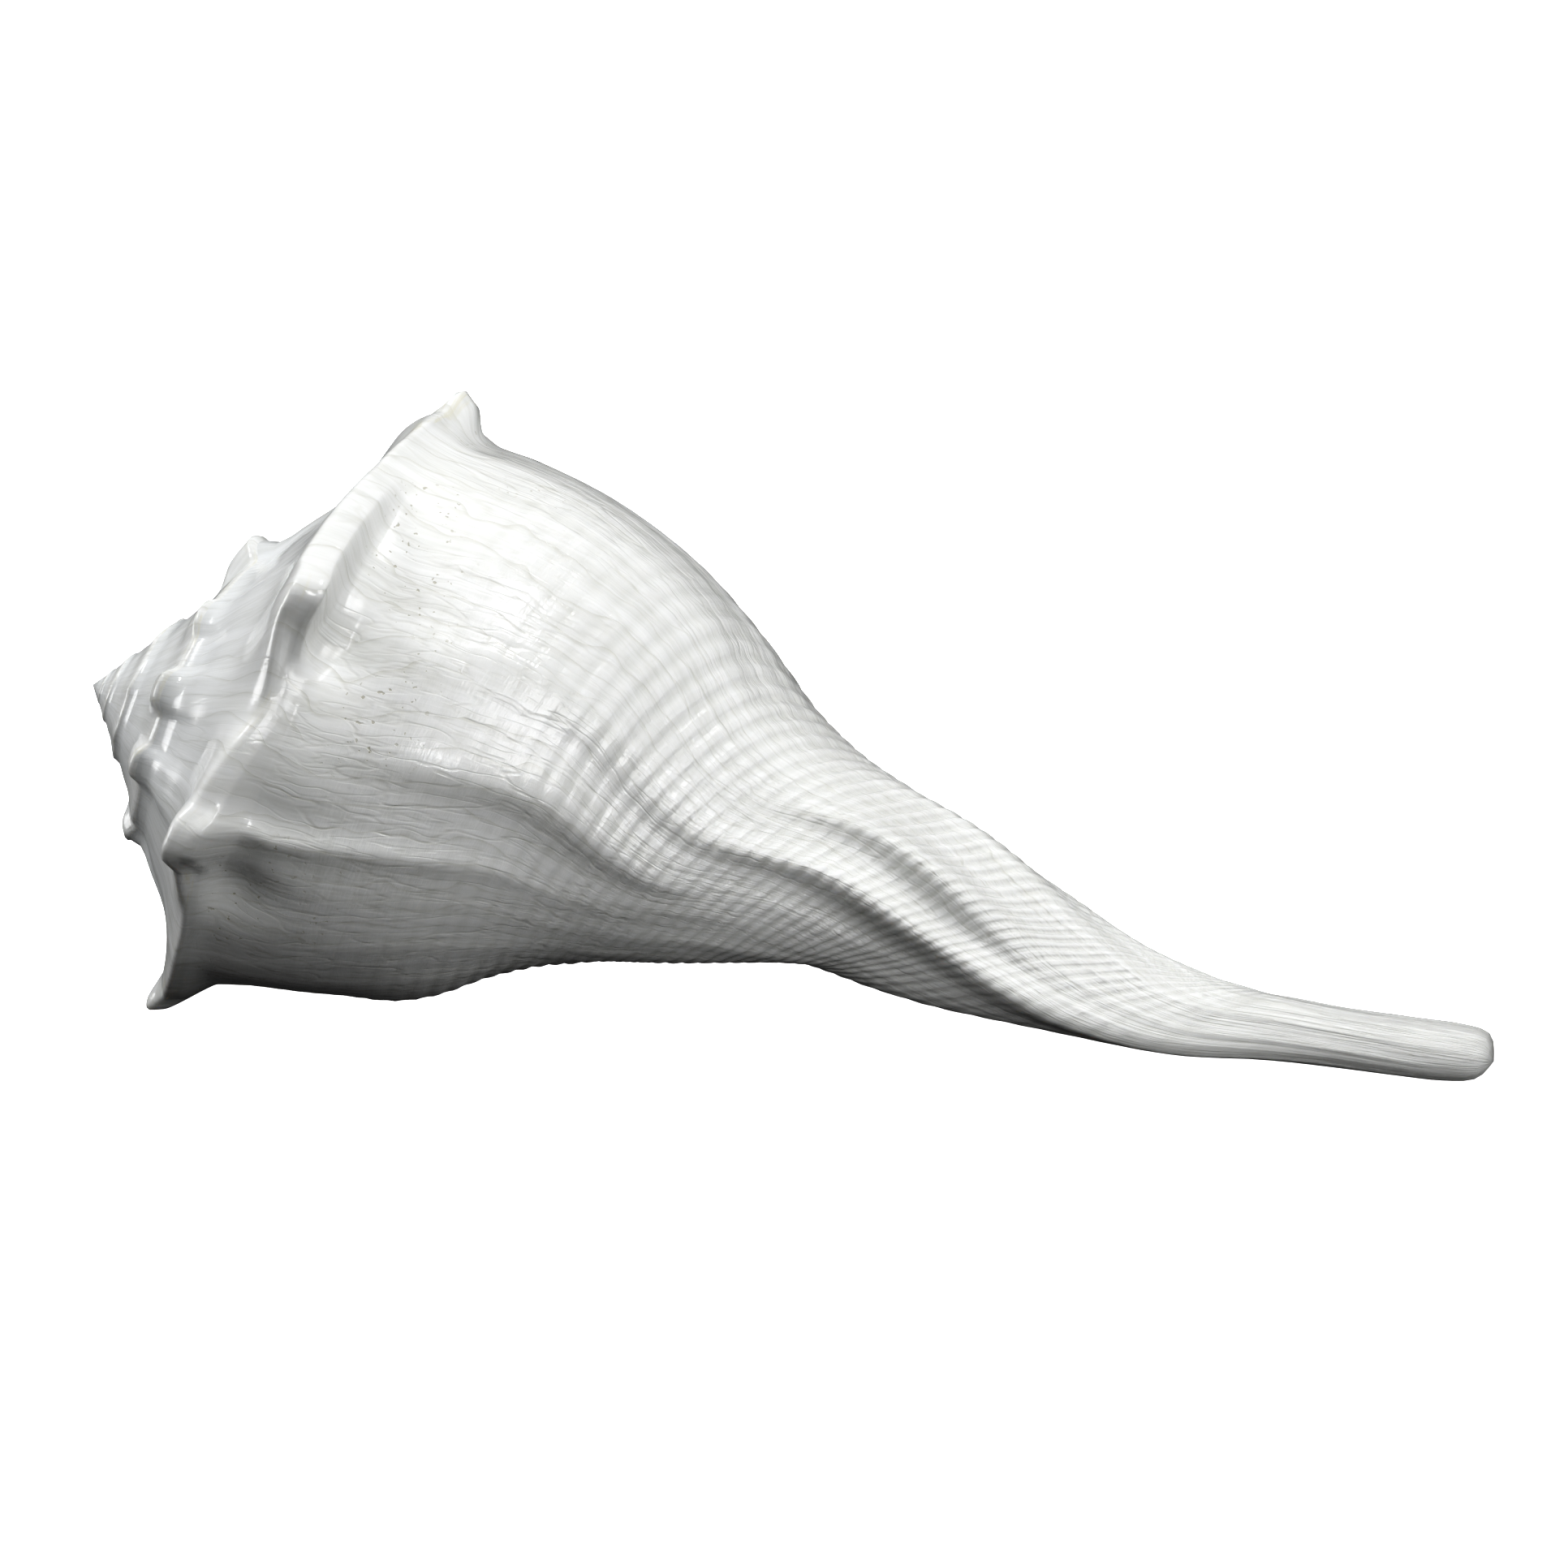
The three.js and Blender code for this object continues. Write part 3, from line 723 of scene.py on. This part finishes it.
def porcelain_finish(looks):
    """White, glossy shell: growth streaks, spiral cords, fine lines, pits and faint olive stains, with a
    painted highlight on the cord crests and painted shade in the cord grooves and at the foot of growth
    steps.
    """
    tree = Finish("whelk_porcelain")
    stage, along, _ = tree.split(tree.node("ShaderNodeUVMap", {"uv_map": "growth"}))
    cords, inside, _ = tree.split(tree.node("ShaderNodeUVMap", {"uv_map": "cords"}))
    size, row, _ = tree.split(tree.node("ShaderNodeUVMap", {"uv_map": "size"}))
    place = tree.node("ShaderNodeTexCoord", {}, {}, OBJECT_COORDINATES)
    outside = 1 - inside.limit()

    # Growth streaks: quick across the stage, slow along the shell, bent a little by a broad noise.
    sway = tree.noise(tree.vector(stage * 14, along * 6), 1.0, 2.0)
    across = stage * 360 + (sway - 0.5) * 5
    broad = tree.noise(tree.vector(across * 0.16, along * 2.2), 1.0, 3.0, 0.6)
    medium = tree.noise(tree.vector(across * 0.34, along * 5.5), 1.0, 3.0, 0.55)
    fine = tree.noise(tree.vector(across * 0.9, along * 9), 1.0, 3.0, 0.6)
    streak = broad * 0.45 + medium * 0.35 + fine * 0.2

    # Thin growth lines run where a noise crosses its middle value.
    seam = tree.noise(tree.vector(across * 0.13, along * 6.0), 1.0, 2.0)
    hair = tree.noise(tree.vector(across * 0.32, along * 8.0), 1.0, 2.0)
    seam_line = 1 - (seam - 0.5).math("ABSOLUTE").step(0.0, 0.035)
    hair_line = 1 - (hair - 0.5).math("ABSOLUTE").step(0.0, 0.05)
    thin = seam_line * 0.6 + hair_line * 0.4

    # Growth steps: a sawtooth across the stage that sinks slowly and jumps back, only where marked.
    wander = tree.noise(tree.vector(stage * 11, along * 4.0), 1.0, 3.0, 0.55) * 4.0
    step = (across * 0.16 + wander).math("FRACT")
    marked = tree.noise(tree.vector(across * 0.07, along * 2.4), 1.0, 2.0).step(0.3, 0.52)

    # Spiral cords: parted by grooves where the cosine of the cord count is high, with finer threads. They
    # are strong on the neck and weak on the body, and a broad noise breaks them.
    neck = along.step(0.56, 0.84) * (1 - along.step(1.42, 1.56))
    body = along.step(0.40, 0.52) * (1 - along.step(1.42, 1.56))
    cord = (cords * float(TURN)).math("COSINE")
    broken = tree.noise(tree.vector(across * 0.12, cords * 0.6), 1.0, 2.0)
    thread = (cords * float(3 * TURN)).math("COSINE")
    groove = (cord * 0.5 + 0.5) ** 2.0

    # Colour: streaks, then lines with painted shade at the foot of growth steps, a painted highlight on the
    # cord crests and painted shade in the cord grooves, a cool tint on the spire and the glaze of the mouth.
    colour = tree.ramp(streak, [
        (0.30, DULL_STREAK), (0.46, tuple(looks.streak)), (0.60, tuple(looks.white)), (0.8, BRIGHT_STREAK),
    ])
    spire = 1 - along.step(0.16, 0.40)
    # Darker thin growth lines, the shell's own marks, plus painted shade at the foot of each marked growth
    # step, where the relief sinks lowest.
    dark = (thin * 0.3 + step.step(0.86, 1.0) * marked * 0.5) * (1 - spire * 0.6)
    colour = tree.mix(dark, colour, GROWTH_LINE_AND_STEP_SHADE)
    # Painted highlight: the crests between cord grooves on the body are made lighter.
    colour = tree.mix((1 - groove) * body * 0.2, colour, CORD_CREST_HIGHLIGHT)
    # Painted shade: the grooves between the cords on the neck are made darker.
    colour = tree.mix(groove * neck * broken * 0.4, colour, CORD_GROOVE_SHADE)
    colour = tree.mix(spire * 0.5, colour, SPIRE_TINT, "MULTIPLY")
    colour = tree.mix(inside.limit() * 0.85, colour, tuple(looks.mouth))

    # Pits in the hollows under the shoulder, then olive stains along the keel and the knob tips.
    speck = tree.noise(place, 1300.0, 1.0, 0.6)
    patch = tree.noise(place, 70.0, 2.0)
    shoulder = row.step(7.2, 8.2) * (1 - row.step(9.6, 10.6))
    pits = speck.step(0.68, 0.73) * patch.step(0.44, 0.62) * shoulder * outside
    colour = tree.mix(pits * 0.6, colour, PIT)
    keel = row.step(5.0, 5.8) * (1 - row.step(6.6, 7.4))
    tips = tree.noise(tree.vector(stage * 30, row * 1.2), 1.0, 3.0, 0.7)
    stain = tips.step(0.5, 0.66) * keel * patch.step(0.4, 0.6) * outside
    colour = tree.mix(stain * 0.45, colour, OLIVE)

    # Fine relief in millimetres. Lines are fainter on the ramp, and all but grain shrinks with the whorl.
    grain = tree.noise(place, 2600.0, 2.0, 0.7)
    ramp = 1 - along.step(0.30, 0.46)
    lines = (medium * 0.1 - thin * 0.09 - step * marked * 0.3) * (1 - ramp * 0.75)
    strokes = tree.noise(tree.vector(across * 0.3, cords * 6.5), 1.0, 2.0) * body * 0.08
    depth = (body * 0.03 + neck * 0.09) * (broken.step(0.3, 0.6) * 0.7 + 0.4)
    raised = thread * neck * 0.01 - groove * depth
    height = (lines + raised + strokes) * outside * (size * size).limit() + grain * 0.006 - pits * 0.06
    bump = tree.node("ShaderNodeBump", {}, {"Strength": looks.bump, "Distance": MM, "Height": height})

    rough = (tree.noise(place, 240.0, 3.0) * 0.3 + medium * 0.2 + looks.roughness - 0.25).limit(0.07, 0.8)
    shader = tree.node("ShaderNodeBsdfPrincipled", {}, {
        "Base Color": colour, "Roughness": rough, "Normal": bump,
        "IOR": 1.53, "Coat Weight": looks.gloss, "Coat Roughness": 0.12,
        "Subsurface Weight": looks.glow, "Subsurface Radius": (1.0, 0.9, 0.75), "Subsurface Scale": 0.0025,
    })
    tree.node("ShaderNodeOutputMaterial", {}, {"Surface": shader})
    return tree.material


def floor_finish(colour, glow):
    """Plain pale floor that gives off a little light of its own, so that it stays even into the distance."""
    tree = Finish("floor_white")
    shader = tree.node("ShaderNodeBsdfPrincipled", {}, {
        "Base Color": (*colour, 1), "Roughness": 0.9, "Specular IOR Level": 0.0,
        "Emission Color": (1, 1, 1, 1), "Emission Strength": glow,
    })
    tree.node("ShaderNodeOutputMaterial", {}, {"Surface": shader})
    return tree.material


def add_object(name, data):
    """New object at the origin in the scene's collection."""
    made = bpy.data.objects.new(name, data)
    bpy.context.scene.collection.objects.link(made)
    return made


class ShellSizes(bpy.types.PropertyGroup):
    """Fineness and relief of the shell's surface."""

    columns: IntProperty(name="Columns", description="Grid columns in one turn", default=204, min=64)
    ramp_rows: IntProperty(
        name="Ramp rows", description="Grid rows from the seam to the next seam", default=23, min=8)
    body_rows: IntProperty(
        name="Body rows", description="Grid rows from the seam to the tip", default=262, min=24)
    hollow_rings: IntProperty(
        name="Hollow rings", description="Rings of the hollow behind the lip", default=28, min=8)
    rim_loops: IntProperty(name="Rim loops", description="Loops that round the lip's edge", default=3, min=1)
    fold_height: FloatProperty(
        name="Fold height", description="Broad growth folds, times their table", default=1.0)
    line_height: FloatProperty(
        name="Line height", description="Narrow growth folds, times their table", default=1.0)
    cord_height: FloatProperty(name="Cord height", description="Spiral cords, times their table", default=1.0)


class ShellLooks(bpy.types.PropertyGroup):
    """Colours and gloss of the shell."""

    white: FloatVectorProperty(
        name="White", description="Main colour", subtype="COLOR", size=3,
        default=(0.86, 0.868, 0.86), min=0, max=1)
    streak: FloatVectorProperty(
        name="Streak", description="Colour between growth streaks", subtype="COLOR", size=3,
        default=(0.77, 0.778, 0.76), min=0, max=1)
    mouth: FloatVectorProperty(
        name="Mouth", description="Glaze inside the mouth", subtype="COLOR", size=3,
        default=(0.86, 0.83, 0.77), min=0, max=1)
    roughness: FloatProperty(
        name="Roughness", description="Middle roughness", default=0.17, min=0, max=1, subtype="FACTOR")
    gloss: FloatProperty(
        name="Gloss", description="Weight of the clear coat", default=0.06, min=0, max=1, subtype="FACTOR")
    glow: FloatProperty(
        name="Glow", description="Light let through the wall", default=0.08, min=0, max=1, subtype="FACTOR")
    bump: FloatProperty(
        name="Fine relief", description="Strength of the fine bump", default=0.9, min=0, max=1,
        subtype="FACTOR")


# Area lights in metres: power setting, size, place, target, and whether the gloss shows the light itself.
LIGHTS = {
    "key_light": ("key", (0.7, 0.5), (0.14, -0.06, 0.8), (0.0, 0.0, 0.03), False),
    "rim_light": ("rim", (0.4, 0.3), (-0.85, 0.02, 0.1), (-0.07, 0.0, 0.03), True),
    "side_light": ("side", (0.5, 0.4), (-0.7, 0.1, 0.7), (-0.03, 0.0, 0.03), False),
    "glint_light_1": ("glint", (0.14, 0.14), (0.36, 0.06, 0.70), (-0.02, -0.01, 0.03), True),
    "glint_light_2": ("glint", (0.14, 0.14), (0.32, -0.66, 0.34), (-0.02, -0.01, 0.03), True),
    "glint_light_3": ("glint", (0.14, 0.14), (-0.56, -0.06, 0.60), (-0.02, -0.01, 0.03), True),
    "fill_light": ("fill", (0.5, 0.3), (0.75, -0.42, 0.42), (0.05, 0.0, 0.02), True),
}
FLOOR_HALF_SIDE = 6.0
VIEW_AIM = (0, 0, 0.035)
SENSOR_WIDTH = 36
PHOTO_SIDE = 1932
PHOTO_SHIFT = (-14, -52.5)


class StudioSettings(bpy.types.PropertyGroup):
    """Floor, light and camera."""

    floor: FloatVectorProperty(
        name="Floor", description="Floor colour", subtype="COLOR", size=3,
        default=(0.9, 0.9, 0.9), min=0, max=1)
    floor_glow: FloatProperty(name="Floor glow", description="Light the floor gives off", default=2.0, min=0)
    key: FloatProperty(
        name="Key light", description="Power of the large light overhead", default=4.6, min=0)
    side: FloatProperty(
        name="Side light", description="Power of the soft light at the spire's side", default=3.7, min=0)
    rim: FloatProperty(
        name="Rim light", description="Power of the low light beyond the spire", default=2.0, min=0)
    fill: FloatProperty(
        name="Fill light", description="Power of the weak light at the canal's side", default=2.8, min=0)
    sky: FloatProperty(
        name="Sky", description="Strength of the even light from above", default=0.16, min=0)
    ground: FloatProperty(
        name="Ground", description="Strength of the even light from below", default=0.01, min=0)
    glint: FloatProperty(
        name="Glints", description="Power of the small lamps that sparkle in the gloss", default=0.7, min=0)
    azimuth: FloatProperty(
        name="View azimuth", description="Camera round the shell", default=13.8 * DEG,
        subtype="ANGLE", unit="ROTATION")
    elevation: FloatProperty(
        name="View elevation", description="Camera above the horizon", default=16.2 * DEG,
        subtype="ANGLE", unit="ROTATION")
    distance: FloatProperty(name="View distance", description="Camera to shell", default=0.9, unit="LENGTH")
    lens: FloatProperty(name="Lens", description="Focal length in millimetres", default=170.6)


class WHELK_OT_shell(bpy.types.Operator):
    """Builds the shell as one closed surface and gives it its finish"""

    bl_idname = "whelk.shell"
    bl_label = "Shell"

    def execute(self, context):
        scene = context.scene
        points, faces = shell_surface(scene.whelk_sizes)
        shell = add_object("whelk_shell", make_mesh("whelk_shell", lay_down(points), faces))
        shell.data.materials.append(porcelain_finish(scene.whelk_looks))
        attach(shell, "root")
        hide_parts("shell")
        return {"FINISHED"}


def area_light(name, power, size, place, target):
    """Rectangular area light of a size, at a place, turned to a target."""
    data = bpy.data.lights.new(name, "AREA")
    data.shape = "RECTANGLE"
    data.energy = power
    data.size, data.size_y = size
    light = add_object(name, data)
    light.location = place
    light.rotation_euler = (Vector(target) - Vector(place)).to_track_quat("-Z", "Y").to_euler()
    return light


def floor_mesh():
    """One square at the height the shell lies on."""
    side = FLOOR_HALF_SIDE
    mesh = bpy.data.meshes.new("floor")
    corners = [(-side, -side, 0), (side, -side, 0), (side, side, 0), (-side, side, 0)]
    mesh.from_pydata(corners, [], [(0, 1, 2, 3)])
    return mesh


def studio_sky(above, below):
    """Even white sky above the horizon, nearly dark below it, eased across the horizon."""
    world = bpy.data.worlds.new("studio_sky")
    world.use_nodes = True
    nodes, links = world.node_tree.nodes, world.node_tree.links
    direction = nodes.new("ShaderNodeTexCoord")
    height = nodes.new("ShaderNodeSeparateXYZ")
    strength = nodes.new("ShaderNodeMapRange")
    strength.interpolation_type = "SMOOTHSTEP"
    for socket, value in (("From Min", -0.15), ("From Max", 0.45), ("To Min", below), ("To Max", above)):
        strength.inputs[socket].default_value = value
    links.new(direction.outputs["Generated"], height.inputs[0])
    links.new(height.outputs["Z"], strength.inputs["Value"])
    background = nodes["Background"]
    background.inputs["Color"].default_value = (1, 1, 1, 1)
    links.new(strength.outputs[0], background.inputs["Strength"])
    return world


class WHELK_OT_studio(bpy.types.Operator):
    """Adds the pale floor, the soft lights, the sky and the camera"""

    bl_idname = "whelk.studio"
    bl_label = "Studio"

    def execute(self, context):
        scene = context.scene
        settings = scene.whelk_studio
        floor = add_object("floor", floor_mesh())
        floor.data.materials.append(floor_finish(tuple(settings.floor), settings.floor_glow))
        floor.visible_diffuse = floor.visible_glossy = floor.visible_transmission = False

        for name, (power, size, place, target, shows) in LIGHTS.items():
            light = area_light(name, getattr(settings, power), size, place, target)
            light.visible_glossy = shows

        scene.world = studio_sky(settings.sky, settings.ground)

        data = bpy.data.cameras.new("camera")
        camera = add_object("camera", data)
        a, e = settings.azimuth, settings.elevation
        back = Vector((np.sin(a) * np.cos(e), -np.cos(a) * np.cos(e), np.sin(e)))
        camera.location = Vector(VIEW_AIM) + back * settings.distance
        camera.rotation_euler = (-back).to_track_quat("-Z", "Y").to_euler()
        data.lens, data.sensor_width = settings.lens, SENSOR_WIDTH
        data.shift_x, data.shift_y = (pixels / PHOTO_SIDE for pixels in PHOTO_SHIFT)
        data.clip_start, data.clip_end = 0.01, 50
        scene.camera = camera
        scene.view_settings.view_transform = "Standard"
        return {"FINISHED"}


class WHELK_PT_panel(bpy.types.Panel):
    """Sizes, looks and studio of the shell"""

    bl_idname = "WHELK_PT_panel"
    bl_label = "Whelk shell"
    bl_space_type = "VIEW_3D"
    bl_region_type = "UI"
    bl_category = "Whelk"

    def draw(self, context):
        scene = context.scene
        for group in (scene.whelk_sizes, scene.whelk_looks, scene.whelk_studio):
            box = self.layout.box()
            for name in group.__annotations__:
                box.prop(group, name)
        for kind in OPERATORS:
            self.layout.operator(kind.bl_idname)


GROUPS = {"whelk_sizes": ShellSizes, "whelk_looks": ShellLooks, "whelk_studio": StudioSettings}
OPERATORS = [WHELK_OT_shell, WHELK_OT_studio]


def register():
    """Registers the classes and puts each group of settings on the scene."""
    for kind in [*GROUPS.values(), *OPERATORS, WHELK_PT_panel]:
        bpy.utils.register_class(kind)
    for name, kind in GROUPS.items():
        setattr(bpy.types.Scene, name, PointerProperty(type=kind))


def unregister():
    """Takes the settings and the classes away again."""
    for name in GROUPS:
        delattr(bpy.types.Scene, name)
    for kind in reversed([*GROUPS.values(), *OPERATORS, WHELK_PT_panel]):
        bpy.utils.unregister_class(kind)


def main():
    register()
    bpy.ops.whelk.shell()
    bpy.ops.whelk.studio()


if __name__ == "__main__":
    main()
